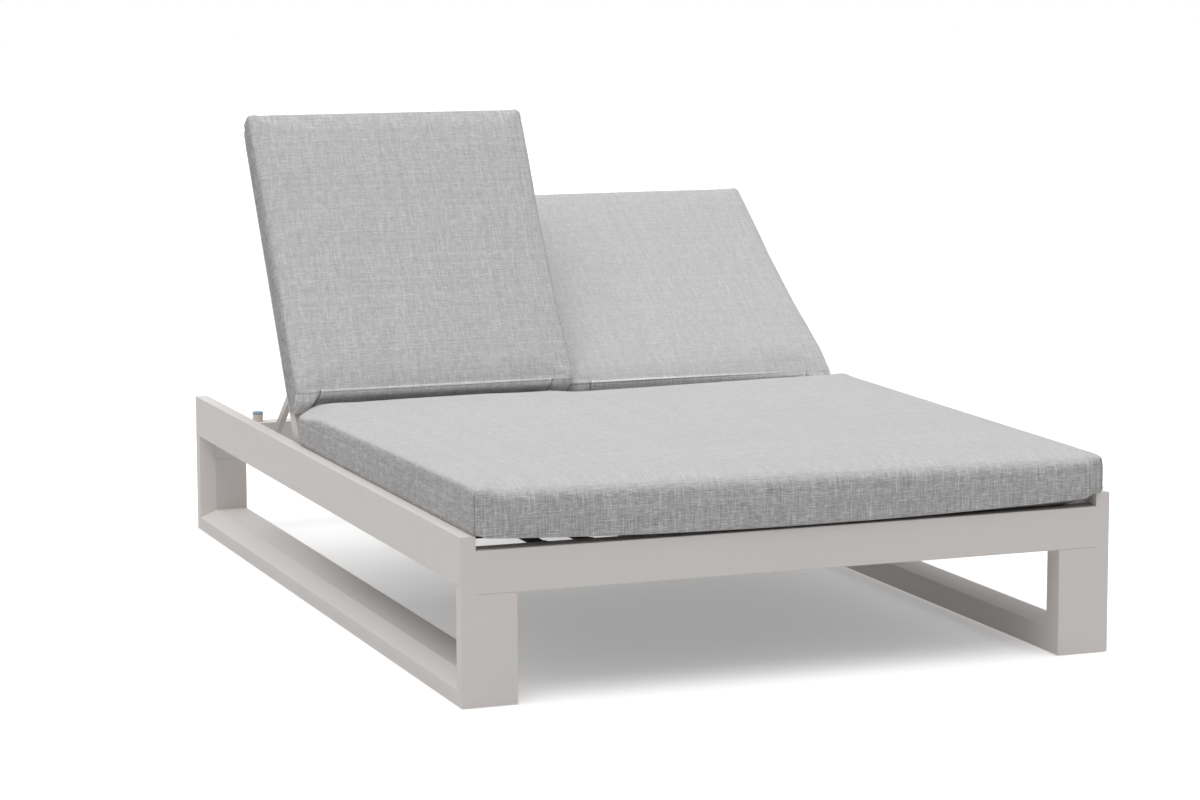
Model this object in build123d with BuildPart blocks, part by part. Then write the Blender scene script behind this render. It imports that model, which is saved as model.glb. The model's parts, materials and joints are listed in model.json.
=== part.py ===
from build123d import *
import os
from math import cos, degrees, radians, sin, sqrt, atan2

os.makedirs("parts", exist_ok=True)

# Double chaise lounger: one low frame, one wide seat cushion, two backs that tilt on their own.
# X is the width, Y runs from the foot (low) to the head (high), Z is up, all in millimetres.
# The origin is on the floor, under the middle of the frame.

# Whole frame
frame_width = 1380
frame_length = 2070
frame_height = 330
tube_wall = 2
corner_radius = 1.5
rest_gap = 0.3
overrun = 5

# Upper side rails, closed by a plate at each end
rail_width = 30
rail_depth = 96
end_plate = 2

# Legs and lower rails share one section, which tapers towards the outside of the frame
leg_width = 112
leg_thickness = 50
leg_edge = 30
taper_width = 35

# Glides under the lower rails
glide_height = 2
glide_radius = 15
glides_per_rail = 3
glide_end_distance = 90

# Crossbars at the foot and the head, measured down from the top of the rails
crossbar_depth = 84
front_drop = 28
rear_drop = 68

# Beams inside the frame
hinge_beam_width = 40
hinge_beam_depth = 50
middle_beam_width = 40
middle_beam_depth = 44
centre_beam_width = 30
centre_beam_depth = 50
centre_beam_drop = 22
hanger_length = 30

# Elastic straps of the seat and of the backs
strap_width = 35
strap_thickness = 2
strap_recess = 2
long_strap_pitch = 94
cross_strap_pitch = 85
seat_side_margin = 90
seat_foot_margin = 121
seat_head_margin = 60

# Clips that hold the strap ends
clip_length = 12
clip_wall = 1.5
clip_side = 2

# Backs, drawn lying flat and then raised by their rest angles
back_bare_length = 100
back_tube_width = 30
back_tube_depth = 40
back_side_gap = 10
back_middle_gap = 15
back_head_gap = 10
hinge_set_back = 25
crossbar_reach = 30
crossbar_height = 15
bottom_bar_start = 30
left_rest_angle = 59
right_rest_angle = 34.3

# Hinges of the backs
hinge_pin_radius = 6
pin_clearance = 0.05
bush_wall = 2
bush_flange = 1.6
bush_flange_width = 3
lug_gap = 2
lug_thickness = 6
lug_radius = 16
pin_head_radius = 10
pin_head_height = 3

# End plugs of the back tubes
plug_flange = 2
plug_depth = 15

# Props that hold the backs up
prop_pivot_distance = 227.3
prop_length = 363.5
prop_width = 12
prop_depth = 18
prop_gap = 2
prop_pin_radius = 4
prop_pin_head_radius = 7
prop_pin_head_height = 3
foot_bar_radius = 8
foot_eye_wall = 4
foot_side_clearance = 0.5

# Notched racks that the props stand in
rack_thickness = 6
rack_depth = 40
rack_end_margin = 20
notch_clearance = 0.3
notch_floor = 20
notch_angles = (10, 22, right_rest_angle, 46.6, left_rest_angle)

# Posts on the head crossbar that the backs lie down on
post_radius = 13
post_from_middle = 125
post_from_rail = 120
post_tip_height = 7

# Cushions
seat_cushion_overhang = 7
seat_cushion_head_gap = 40
seat_cushion_thickness = 103.7
seat_cushion_crown = 14
back_cushion_length = 700
back_cushion_thickness = 80
back_cushion_crown = 8
back_cushion_middle_gap = 5
left_cushion_start = 121
right_cushion_start = 97
cushion_edge = 16
cushion_corner = 26
cushion_step_clearance = 0.5

# Height and inset of the soft edge, as shares of cushion_edge
edge_shares = ((0, 1), (0.25, 0.5), (1, 0.12))
# Height as a share of the crown, and inset as a share of half the cushion's shorter side
crown_shares = ((0.45, 0.1), (0.76, 0.26), (0.93, 0.46), (1, 0.72))

# Places worked out from the sizes above
half_width = frame_width / 2
half_length = frame_length / 2
back_length = back_cushion_length + back_bare_length
rail_inner = half_width - rail_width
rail_bottom = frame_height - rail_depth
leg_inner = half_width - leg_width
seat_deck = frame_height - front_drop
rear_deck = frame_height - rear_drop
strap_top = seat_deck - strap_recess
hinge_y = half_length - back_head_gap - back_length
hinge_beam_rear = hinge_y - hinge_set_back
hinge_beam_front = hinge_beam_rear - hinge_beam_width
centre_beam_top = rear_deck - centre_beam_drop
centre_beam_bottom = centre_beam_top - centre_beam_depth
inner_crossbar_face = half_length - leg_thickness
hinge_z = rear_deck + rest_gap + back_tube_depth / 2
back_front = hinge_z + back_tube_depth / 2
back_strap_top = back_front - strap_recess
outer_tube_far = rail_inner - back_side_gap
outer_tube_near = outer_tube_far - back_tube_width
inner_tube_near = back_middle_gap
inner_tube_far = inner_tube_near + back_tube_width
top_bar_start = back_length - crossbar_reach
bottom_bar_end = bottom_bar_start + crossbar_reach
pivot_y = hinge_y + prop_pivot_distance
foot_height = rear_deck - notch_floor + foot_bar_radius
foot_eye_radius = foot_bar_radius + foot_eye_wall
hinge_axis = Axis((0, hinge_y, hinge_z), (1, 0, 0))
pivot_axis = Axis((0, pivot_y, hinge_z), (1, 0, 0))


def prop_foot(back_angle):
    """Y of the prop's foot, and the angle between prop and back, with the foot on the racks."""
    back_turn = radians(back_angle)
    top_y = hinge_y + prop_pivot_distance * cos(back_turn)
    top_z = hinge_z + prop_pivot_distance * sin(back_turn)
    drop = top_z - foot_height
    reach = sqrt(prop_length**2 - drop**2)
    return top_y + reach, back_angle + degrees(atan2(drop, reach))


# Placing and shared forms


def block(low, high, mode=Mode.ADD):
    """Box between two opposite corners."""
    size = [end - start for start, end in zip(low, high)]
    with Locations(low):
        Box(*size, align=(Align.MIN, Align.MIN, Align.MIN), mode=mode)


def rod(x_start, x_end, y, z, radius, mode=Mode.ADD):
    """Round bar along X."""
    with Locations(((x_start + x_end) / 2, y, z)):
        Cylinder(radius, abs(x_end - x_start), rotation=(0, 90, 0), mode=mode)


def write(piece, name):
    """Name a finished piece and save it."""
    piece.part.label = name
    export_step(piece.part, f"parts/{name}.step")


def mirrored(piece, plane):
    """The same piece on the other side of a plane."""
    with BuildPart() as twin:
        mirror(piece.part, about=plane)
    return twin


def turned(piece, axis, angle):
    """The same piece turned about an axis."""
    with BuildPart() as result:
        add(piece.part.rotate(axis, angle))
    return result


def tube_section(width, depth):
    """Hollow rectangular section with small outer corner radii, in the current sketch."""
    RectangleRounded(width, depth, corner_radius)
    Rectangle(width - 2 * tube_wall, depth - 2 * tube_wall, mode=Mode.SUBTRACT)


def tube_across(x_start, x_end, y_low, y_high, z_low, z_high):
    """Tube along X that fills the given space."""
    middle = (x_start, (y_low + y_high) / 2, (z_low + z_high) / 2)
    with BuildPart() as tube:
        with BuildSketch(Plane(origin=middle, x_dir=(0, 1, 0), z_dir=(1, 0, 0))):
            tube_section(y_high - y_low, z_high - z_low)
        extrude(amount=x_end - x_start)
    return tube


def tube_along(x_low, x_high, y_start, y_end, z_low, z_high):
    """Tube along Y that fills the given space."""
    middle = ((x_low + x_high) / 2, y_start, (z_low + z_high) / 2)
    with BuildPart() as tube:
        with BuildSketch(Plane(origin=middle, x_dir=(1, 0, 0), z_dir=(0, 1, 0))):
            tube_section(x_high - x_low, z_high - z_low)
        extrude(amount=y_end - y_start)
    return tube


# Frame


def tapered_section(outer_face, inward):
    """Leg section in the current sketch: its width along X, its thickness towards the opening."""
    points = [
        (half_width, outer_face),
        (half_width, outer_face + inward * leg_edge),
        (half_width - taper_width, outer_face + inward * leg_thickness),
        (leg_inner, outer_face + inward * leg_thickness),
        (leg_inner, outer_face),
    ]
    Polygon(*points, align=None)
    offset(amount=-tube_wall, kind=Kind.INTERSECTION, mode=Mode.SUBTRACT)


def cut_mitre(keep_above):
    """Cut the head end of a leg or a lower rail to the plane where the two meet."""
    low_y = half_length - leg_thickness - overrun
    high_y = half_length + overrun
    low_z = glide_height - overrun
    high_z = glide_height + leg_thickness + overrun
    waste_corner = (low_y, low_z) if keep_above else (high_y, high_z)
    with BuildSketch(Plane.YZ) as waste:
        Polygon((high_y, low_z), (low_y, high_z), waste_corner, align=None)
    extrude(waste.sketch, amount=half_width + overrun, mode=Mode.SUBTRACT)


def right_leg(crossbar_top):
    """Right leg at the head end, cut to pass beside the rail and under a crossbar."""
    with BuildPart() as leg:
        with BuildSketch():
            tapered_section(half_length, -1)
        extrude(amount=rail_bottom)
        block(
            (leg_inner - overrun, inner_crossbar_face - overrun, crossbar_top - crossbar_depth),
            (rail_inner, half_length + overrun, rail_bottom + overrun),
            Mode.SUBTRACT,
        )
        cut_mitre(keep_above=True)
    return leg


def right_lower_rail():
    """Lower rail on the floor side, mitred into the legs at both ends."""
    with BuildPart() as rail:
        with BuildSketch(Plane.XZ):
            tapered_section(glide_height, 1)
        extrude(amount=half_length, both=True)
        cut_mitre(keep_above=False)
        split(bisect_by=Plane.XZ, keep=Keep.BOTTOM)
        mirror(about=Plane.XZ)
    return rail


def right_side_rail():
    """Upper side rail between its two end plates."""
    end = half_length - end_plate
    return tube_along(rail_inner, half_width, -end, end, rail_bottom, frame_height)


def crossbar(y_low, top):
    """Crossbar between the side rails, as thick as the legs."""
    return tube_across(
        -rail_inner, rail_inner, y_low, y_low + leg_thickness, top - crossbar_depth, top
    )


def make_frame():
    """Rails, legs, crossbars and the plates that close the rail ends."""
    rear_leg = right_leg(rear_deck)
    front_leg = mirrored(right_leg(seat_deck), Plane.XZ)
    rails = {"side_rail": right_side_rail(), "lower_rail": right_lower_rail()}
    legs = {"front_leg": front_leg, "rear_leg": rear_leg}
    for name, piece in {**rails, **legs}.items():
        write(piece, f"right_{name}")
        write(mirrored(piece, Plane.YZ), f"left_{name}")
    write(crossbar(-half_length, seat_deck), "front_crossbar")
    write(crossbar(inner_crossbar_face, rear_deck), "rear_crossbar")

    with BuildPart() as plates:
        block(
            (rail_inner, half_length - end_plate, rail_bottom),
            (half_width, half_length, frame_height),
        )
        mirror(about=Plane.YZ)
        mirror(about=Plane.XZ)
    write(plates, "rail_end_plates")


def make_glides():
    """Flat round glides under the lower rails."""
    glide_x = (half_width + leg_inner) / 2
    spacing = (frame_length - 2 * glide_end_distance) / (glides_per_rail - 1)
    with BuildPart() as glides:
        with GridLocations(2 * glide_x, spacing, 2, glides_per_rail):
            Cylinder(glide_radius, glide_height, align=(Align.CENTER, Align.CENTER, Align.MIN))
    write(glides, "floor_glides")


def make_beams():
    """Beams that carry the hinges, the straps and the middle racks."""
    hinge_beam_low = seat_deck - hinge_beam_depth
    hinge_beam = tube_across(
        -rail_inner, rail_inner, hinge_beam_front, hinge_beam_rear, hinge_beam_low, seat_deck
    )
    write(hinge_beam, "hinge_beam")

    strap_places = seat_cross_places()
    after_middle = len(strap_places) // 2
    middle_y = (strap_places[after_middle - 1] + strap_places[after_middle]) / 2
    middle_top = strap_top - 2 * strap_thickness - rest_gap
    middle_beam = tube_across(
        -rail_inner,
        rail_inner,
        middle_y - middle_beam_width / 2,
        middle_y + middle_beam_width / 2,
        middle_top - middle_beam_depth,
        middle_top,
    )
    write(middle_beam, "middle_beam")

    side = centre_beam_width / 2
    centre_beam = tube_along(
        -side, side, hinge_beam_rear, inner_crossbar_face, centre_beam_bottom, centre_beam_top
    )
    write(centre_beam, "centre_beam")

    with BuildPart() as hanger:
        with BuildSketch(Plane.XY.offset(centre_beam_bottom)):
            with Locations((0, hinge_beam_rear - hanger_length / 2)):
                tube_section(centre_beam_width, hanger_length)
        extrude(amount=hinge_beam_low - centre_beam_bottom)
    write(hanger, "centre_beam_hanger")


# Straps and clips


def spread(space, pitch, middle):
    """As many evenly pitched places as the space holds, about its middle."""
    count = int(space / pitch)
    return [middle + (index - (count - 1) / 2) * pitch for index in range(count)]


def seat_cross_places():
    """Middles of the seat's cross straps, set out from the foot."""
    first = seat_foot_margin - inner_crossbar_face
    last = hinge_beam_front - seat_head_margin
    count = int((last - first) / cross_strap_pitch) + 1
    return [first + index * cross_strap_pitch for index in range(count)]


def straps_along(x_places, y_start, y_end, top):
    """Straps that run along Y."""
    with BuildPart() as straps:
        for x in x_places:
            side = strap_width / 2
            block((x - side, y_start, top - strap_thickness), (x + side, y_end, top))
    return straps


def straps_across(y_places, x_start, x_end, top):
    """Straps that run along X."""
    with BuildPart() as straps:
        for y in y_places:
            side = strap_width / 2
            block((x_start, y - side, top - strap_thickness), (x_end, y + side, top))
    return straps


def clips(places):
    """Clips at the given places, which each open along their own X axis."""
    side = strap_width / 2 + clip_side
    jaw = strap_thickness / 2 + clip_wall
    mouth = strap_thickness / 2
    with BuildPart() as group:
        with Locations(*places):
            with BuildPart(mode=Mode.PRIVATE) as form:
                block((0, -side, -jaw), (clip_length, side, jaw))
                block(
                    (clip_wall, -side - overrun, -mouth),
                    (clip_length + overrun, side + overrun, mouth),
                    Mode.SUBTRACT,
                )
            add(form.part)
    return group


def clip_places(x_places, x_ends, y_places, y_ends, long_top):
    """A clip for both ends of each long strap and each cross strap."""
    long_middle = long_top - strap_thickness / 2
    cross_middle = long_middle - strap_thickness
    places = []
    for x in x_places:
        places.append(Location((x, y_ends[0], long_middle), (0, 0, 90)))
        places.append(Location((x, y_ends[1], long_middle), (0, 0, -90)))
    for y in y_places:
        places.append(Location((x_ends[0], y, cross_middle), (0, 0, 0)))
        places.append(Location((x_ends[1], y, cross_middle), (0, 0, 180)))
    return places


def make_seat_straps():
    """Straps of the seat, both ways, and their clips on the frame."""
    x_places = spread(2 * (rail_inner - seat_side_margin), long_strap_pitch, 0)
    y_places = seat_cross_places()
    y_ends = (-inner_crossbar_face, hinge_beam_front)
    x_ends = (-rail_inner, rail_inner)
    long_straps = straps_along(x_places, y_ends[0] + clip_wall, y_ends[1] - clip_wall, strap_top)
    cross_top = strap_top - strap_thickness
    cross_straps = straps_across(y_places, x_ends[0] + clip_wall, x_ends[1] - clip_wall, cross_top)
    write(long_straps, "seat_long_straps")
    write(cross_straps, "seat_cross_straps")
    write(clips(clip_places(x_places, x_ends, y_places, y_ends, strap_top)), "seat_strap_clips")


# Hinges, racks and posts


def make_hinge_lugs(side, turn_over):
    """Plates behind the hinge beam, one on each side of each back tube."""
    with BuildPart() as lugs:
        for near, far in ((inner_tube_near, inner_tube_far), (outer_tube_near, outer_tube_far)):
            for start in (near - lug_gap - lug_thickness, far + lug_gap):
                with BuildSketch(Plane.YZ.offset(start)) as form:
                    with Locations((hinge_y, hinge_z)):
                        Circle(lug_radius)
                    with Locations((hinge_beam_rear, hinge_z)):
                        reach = (hinge_set_back, 2 * lug_radius)
                        Rectangle(*reach, align=(Align.MIN, Align.CENTER))
                    with Locations((hinge_y, hinge_z)):
                        Circle(hinge_pin_radius, mode=Mode.SUBTRACT)
                extrude(form.sketch, amount=lug_thickness)
    write(turn_over(lugs), f"{side}_hinge_lugs")


def make_hinge_pins(side, turn_over):
    """Headed pins through the lugs and the back tubes."""
    reach = lug_gap + lug_thickness
    with BuildPart() as pins:
        rod(inner_tube_near - reach, inner_tube_far + reach, hinge_y, hinge_z, hinge_pin_radius)
        inner_head = inner_tube_far + reach
        rod(inner_head, inner_head + pin_head_height, hinge_y, hinge_z, pin_head_radius)
        rod(outer_tube_near - reach, outer_tube_far + reach, hinge_y, hinge_z, hinge_pin_radius)
        outer_head = outer_tube_near - reach
        rod(outer_head - pin_head_height, outer_head, hinge_y, hinge_z, pin_head_radius)
    write(turn_over(pins), f"{side}_hinge_pins")


def rack(x_start):
    """Plate with a notch for each angle of the back."""
    places = [prop_foot(angle)[0] for angle in notch_angles]
    notch = foot_bar_radius + notch_clearance
    margin = notch + rack_end_margin
    with BuildPart() as plate:
        with BuildSketch(Plane.YZ.offset(x_start)) as outline:
            with Locations((min(places) - margin, rear_deck)):
                length = max(places) - min(places) + 2 * margin
                Rectangle(length, rack_depth, align=(Align.MIN, Align.MAX))
            with Locations(*[(place, foot_height) for place in places]):
                Circle(notch, mode=Mode.SUBTRACT)
                mouth = rear_deck - foot_height + overrun
                Rectangle(2 * notch, mouth, align=(Align.CENTER, Align.MIN), mode=Mode.SUBTRACT)
        extrude(outline.sketch, amount=rack_thickness)
    return plate


def make_racks(side, turn_over):
    """Racks on the side rail and on the centre beam."""
    write(turn_over(rack(rail_inner - rack_thickness)), f"{side}_outer_rack")
    write(turn_over(rack(centre_beam_width / 2)), f"{side}_middle_rack")


def make_posts():
    """Posts on the head crossbar, with soft tips under the backs' top bars."""
    post_y = hinge_y + top_bar_start + crossbar_reach / 2
    top = back_front - crossbar_height - rest_gap
    distances = (post_from_middle, rail_inner - post_from_rail)
    places = [(sign * x, post_y) for sign in (-1, 1) for x in distances]
    with BuildPart() as posts:
        with BuildSketch(Plane.XY.offset(rear_deck)):
            with Locations(*places):
                Circle(post_radius)
        extrude(amount=top - post_tip_height - rear_deck)
    write(posts, "rest_posts")

    with BuildPart() as tips:
        with BuildSketch(Plane.XY.offset(top - post_tip_height)):
            with Locations(*places):
                Circle(post_radius)
        extrude(amount=post_tip_height)
        fillet(tips.edges().filter_by(GeomType.CIRCLE).group_by(Axis.Z)[-1], post_radius / 5)
    write(tips, "rest_post_tips")


# Backs


def back_side_tube(x_low):
    """Side tube of a back, rounded about the hinge, with bores for the bushes and the prop pin."""
    x_high = x_low + back_tube_width
    half_depth = back_tube_depth / 2
    end = hinge_y + back_length
    inner_low = x_low + tube_wall
    inner_high = x_high - tube_wall
    inner_half = half_depth - tube_wall
    with BuildPart() as tube:
        block((x_low, hinge_y, hinge_z - half_depth), (x_high, end, hinge_z + half_depth))
        rod(x_low, x_high, hinge_y, hinge_z, half_depth)
        block(
            (inner_low, hinge_y, hinge_z - inner_half),
            (inner_high, end + overrun, hinge_z + inner_half),
            Mode.SUBTRACT,
        )
        rod(inner_low, inner_high, hinge_y, hinge_z, inner_half, Mode.SUBTRACT)
        bush_bore = hinge_pin_radius + pin_clearance + bush_wall
        rod(x_low - overrun, x_high + overrun, hinge_y, hinge_z, bush_bore, Mode.SUBTRACT)
        rod(x_low - overrun, x_high + overrun, pivot_y, hinge_z, prop_pin_radius, Mode.SUBTRACT)
    return tube


def back_crossbar(start):
    """Flat bar between the side tubes, flush with their front faces."""
    return tube_across(
        inner_tube_far,
        outer_tube_near,
        hinge_y + start,
        hinge_y + start + crossbar_reach,
        back_front - crossbar_height,
        back_front,
    )


def back_bushes():
    """Flanged bushes, one pushed into each side of each side tube."""
    bore = hinge_pin_radius + pin_clearance
    sleeve = bore + bush_wall
    with BuildPart() as bushes:
        for x_low in (inner_tube_near, outer_tube_near):
            middle = x_low + back_tube_width / 2
            for direction in (-1, 1):
                face = middle + direction * back_tube_width / 2
                outside = face + direction * bush_flange
                stop = middle + direction * rest_gap / 2
                rod(stop, outside, hinge_y, hinge_z, sleeve)
                rod(face, outside, hinge_y, hinge_z, sleeve + bush_flange_width)
            reach = bush_flange + overrun
            x_high = x_low + back_tube_width
            rod(x_low - reach, x_high + reach, hinge_y, hinge_z, bore, Mode.SUBTRACT)
    return bushes


def back_plugs():
    """Plastic plugs in the open ends of the side tubes."""
    end = hinge_y + back_length
    half_depth = back_tube_depth / 2
    inner_half = half_depth - tube_wall
    with BuildPart() as plugs:
        for x_low in (inner_tube_near, outer_tube_near):
            x_high = x_low + back_tube_width
            block(
                (x_low, end, hinge_z - half_depth),
                (x_high, end + plug_flange, hinge_z + half_depth),
            )
            block(
                (x_low + tube_wall, end - plug_depth, hinge_z - inner_half),
                (x_high - tube_wall, end, hinge_z + inner_half),
            )
    return plugs


def prop_pins():
    """Headed pins that carry the prop arms beside the tubes."""
    reach = prop_gap + prop_width
    with BuildPart() as pins:
        for start, end, outwards in (
            (inner_tube_far + reach, inner_tube_near, -1),
            (outer_tube_near - reach, outer_tube_far, 1),
        ):
            rod(start, end, pivot_y, hinge_z, prop_pin_radius)
            rod(
                end,
                end + outwards * prop_pin_head_height,
                pivot_y,
                hinge_z,
                prop_pin_head_radius,
            )
            rod(
                start - outwards * prop_pin_head_height,
                start,
                pivot_y,
                hinge_z,
                prop_pin_head_radius,
            )
            rod(
                start + outwards * (prop_width + pin_clearance),
                start + outwards * reach,
                pivot_y,
                hinge_z,
                prop_pin_head_radius,
            )
    return pins


def back_straps():
    """Straps of one back, both ways, and their clips."""
    x_ends = (inner_tube_far, outer_tube_near)
    y_ends = (hinge_y + bottom_bar_end, hinge_y + top_bar_start)
    x_places = spread(x_ends[1] - x_ends[0], long_strap_pitch, sum(x_ends) / 2)
    y_places = spread(y_ends[1] - y_ends[0], cross_strap_pitch, sum(y_ends) / 2)
    y_start = y_ends[0] + clip_wall
    y_stop = y_ends[1] - clip_wall
    x_start = x_ends[0] + clip_wall
    x_stop = x_ends[1] - clip_wall
    cross_top = back_strap_top - strap_thickness
    return {
        "long_straps": straps_along(x_places, y_start, y_stop, back_strap_top),
        "cross_straps": straps_across(y_places, x_start, x_stop, cross_top),
        "strap_clips": clips(clip_places(x_places, x_ends, y_places, y_ends, back_strap_top)),
    }


def make_back(side, rest_angle, cushion_start, turn_over):
    """One back with its straps, bushes, plugs, pins and cushion, raised to its rest angle."""
    outer_side = rail_inner - cushion_step_clearance
    pieces = {
        "outer_tube": back_side_tube(outer_tube_near),
        "inner_tube": back_side_tube(inner_tube_near),
        "top_bar": back_crossbar(top_bar_start),
        "bottom_bar": back_crossbar(bottom_bar_start),
        **back_straps(),
        "hinge_bushes": back_bushes(),
        "tube_plugs": back_plugs(),
        "prop_pins": prop_pins(),
        "cushion": cushion(
            (back_cushion_middle_gap, outer_side),
            hinge_y + cushion_start,
            back_front + rest_gap,
            back_cushion_length,
            back_cushion_thickness,
            back_cushion_crown,
        ),
    }
    for name, piece in pieces.items():
        write(turned(turn_over(piece), hinge_axis, rest_angle), f"{side}_back_{name}")


# Props


def prop_arm(x_low):
    """Flat arm from the pivot to the foot bar, drawn along the back."""
    x_high = x_low + prop_width
    foot_y = pivot_y + prop_length
    half_depth = prop_depth / 2
    with BuildPart() as arm:
        block((x_low, pivot_y, hinge_z - half_depth), (x_high, foot_y, hinge_z + half_depth))
        rod(x_low, x_high, pivot_y, hinge_z, half_depth)
        rod(x_low, x_high, foot_y, hinge_z, foot_eye_radius)
        bore = prop_pin_radius + pin_clearance
        rod(x_low - overrun, x_high + overrun, pivot_y, hinge_z, bore, Mode.SUBTRACT)
        rod(x_low - overrun, x_high + overrun, foot_y, hinge_z, foot_bar_radius, Mode.SUBTRACT)
    return arm


def foot_bar():
    """Round bar that joins the arms and stands in the racks."""
    inner_end = centre_beam_width / 2 + rack_thickness + foot_side_clearance
    outer_end = rail_inner - rack_thickness - foot_side_clearance
    with BuildPart() as bar:
        rod(inner_end, outer_end, pivot_y + prop_length, hinge_z, foot_bar_radius)
        chamfer(bar.edges().filter_by(GeomType.CIRCLE), foot_bar_radius / 8)
    return bar


def make_prop(side, rest_angle, turn_over):
    """Two arms and a foot bar, swung down from the back and raised with it."""
    pieces = {
        "outer_arm": prop_arm(outer_tube_near - prop_gap - prop_width),
        "inner_arm": prop_arm(inner_tube_far + prop_gap),
        "foot_bar": foot_bar(),
    }
    swing = prop_foot(rest_angle)[1]
    for name, piece in pieces.items():
        hanging = turned(turn_over(piece), pivot_axis, -swing)
        write(turned(hanging, hinge_axis, rest_angle), f"{side}_prop_{name}")


# Cushions


def cushion(x_ends, y_start, z_start, length, thickness, crown, step=0):
    """Box cushion with soft edges, bulging sides and a crowned top.

    Below the top of the rails it is narrower by the step, on both sides.
    """
    width = x_ends[1] - x_ends[0]
    shorter = min(width, length)
    step_height = front_drop - rest_gap
    lower = [(rise * cushion_edge, inset * cushion_edge) for rise, inset in edge_shares]
    upper = [(thickness - rise, inset) for rise, inset in reversed(lower)]
    top = [
        (thickness + rise * crown, cushion_edge + inset * shorter / 2)
        for rise, inset in crown_shares
    ]
    levels = [(rise, inset + step, inset) for rise, inset in lower]
    levels.append((step_height, step, 0))
    levels.append((thickness / 2, 0, 0))
    levels.extend((rise, inset, inset) for rise, inset in upper + top)
    middle = (sum(x_ends) / 2, y_start + length / 2)
    with BuildPart() as pad:
        for rise, side_inset, end_inset in levels:
            with BuildSketch(Plane.XY.offset(z_start + rise)):
                with Locations(middle):
                    wide = width - 2 * side_inset
                    long = length - 2 * end_inset
                    RectangleRounded(wide, long, cushion_corner)
        loft(ruled=True)
    return pad


def make_seat_cushion():
    """Wide cushion that fills the space between the rails and spreads over their tops."""
    wide = rail_inner + seat_cushion_overhang
    pad = cushion(
        (-wide, wide),
        -half_length,
        seat_deck + rest_gap,
        hinge_y - seat_cushion_head_gap + half_length,
        seat_cushion_thickness,
        seat_cushion_crown,
        seat_cushion_overhang + cushion_step_clearance,
    )
    write(pad, "seat_cushion")


# The whole lounger
make_frame()
make_glides()
make_beams()
make_seat_straps()
make_posts()
make_seat_cushion()
sides = {
    "left": (left_rest_angle, left_cushion_start, lambda piece: mirrored(piece, Plane.YZ)),
    "right": (right_rest_angle, right_cushion_start, lambda piece: piece),
}
for side, (rest_angle, cushion_start, turn_over) in sides.items():
    make_hinge_lugs(side, turn_over)
    make_hinge_pins(side, turn_over)
    make_racks(side, turn_over)
    make_back(side, rest_angle, cushion_start, turn_over)
    make_prop(side, rest_angle, turn_over)
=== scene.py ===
import json
from math import atan2, cos, pi, radians, sin

import bpy
import numpy as np
from mathutils import Matrix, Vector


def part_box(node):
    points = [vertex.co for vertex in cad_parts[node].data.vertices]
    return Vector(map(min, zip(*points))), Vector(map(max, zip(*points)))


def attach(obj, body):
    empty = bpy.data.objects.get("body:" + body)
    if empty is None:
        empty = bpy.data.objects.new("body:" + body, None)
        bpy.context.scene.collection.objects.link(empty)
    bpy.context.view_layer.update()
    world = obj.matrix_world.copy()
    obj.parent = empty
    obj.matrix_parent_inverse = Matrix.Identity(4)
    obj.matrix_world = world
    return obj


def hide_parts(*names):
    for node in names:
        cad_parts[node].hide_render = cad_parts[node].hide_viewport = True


bl_info = {
    "name": "Double chaise lounger",
    "version": (1, 0, 0),
    "blender": (4, 5, 0),
    "location": "View3D > Sidebar > Lounger",
    "description": "Dresses the packed lounger with powder coat, webbing and sewn cushions",
    "category": "Object",
}

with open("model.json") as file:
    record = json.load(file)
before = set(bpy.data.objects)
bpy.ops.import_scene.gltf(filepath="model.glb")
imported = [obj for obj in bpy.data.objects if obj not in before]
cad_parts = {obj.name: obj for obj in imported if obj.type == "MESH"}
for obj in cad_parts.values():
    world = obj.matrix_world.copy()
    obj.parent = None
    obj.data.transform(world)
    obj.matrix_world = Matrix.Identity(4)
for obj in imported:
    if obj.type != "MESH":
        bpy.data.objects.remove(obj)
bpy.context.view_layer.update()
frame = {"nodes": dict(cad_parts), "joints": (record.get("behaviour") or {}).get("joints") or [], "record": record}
nodes = frame["nodes"]
sides = ("left", "right")


# Places read from the frame

def joint_place(name):
    """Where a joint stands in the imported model, in metres."""
    joint = next(j for j in frame["joints"] if j["name"] == name)
    return np.array(joint["pos_m"], float)


def rest_angle(side):
    """The angle between a back and the ground at rest, from its hinge to its prop's pivot."""
    reach = joint_place(f"{side}_prop_pivot") - joint_place(f"{side}_back_hinge")
    return atan2(reach[2], reach[1])


rail_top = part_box("left_side_rail")[1].z
deck_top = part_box("seat_long_straps")[1].z
strap_thickness = deck_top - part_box("seat_long_straps")[0].z
groove_reach = 0.005
tiny = 1e-9


# Sizes and colours that a user would change

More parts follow.
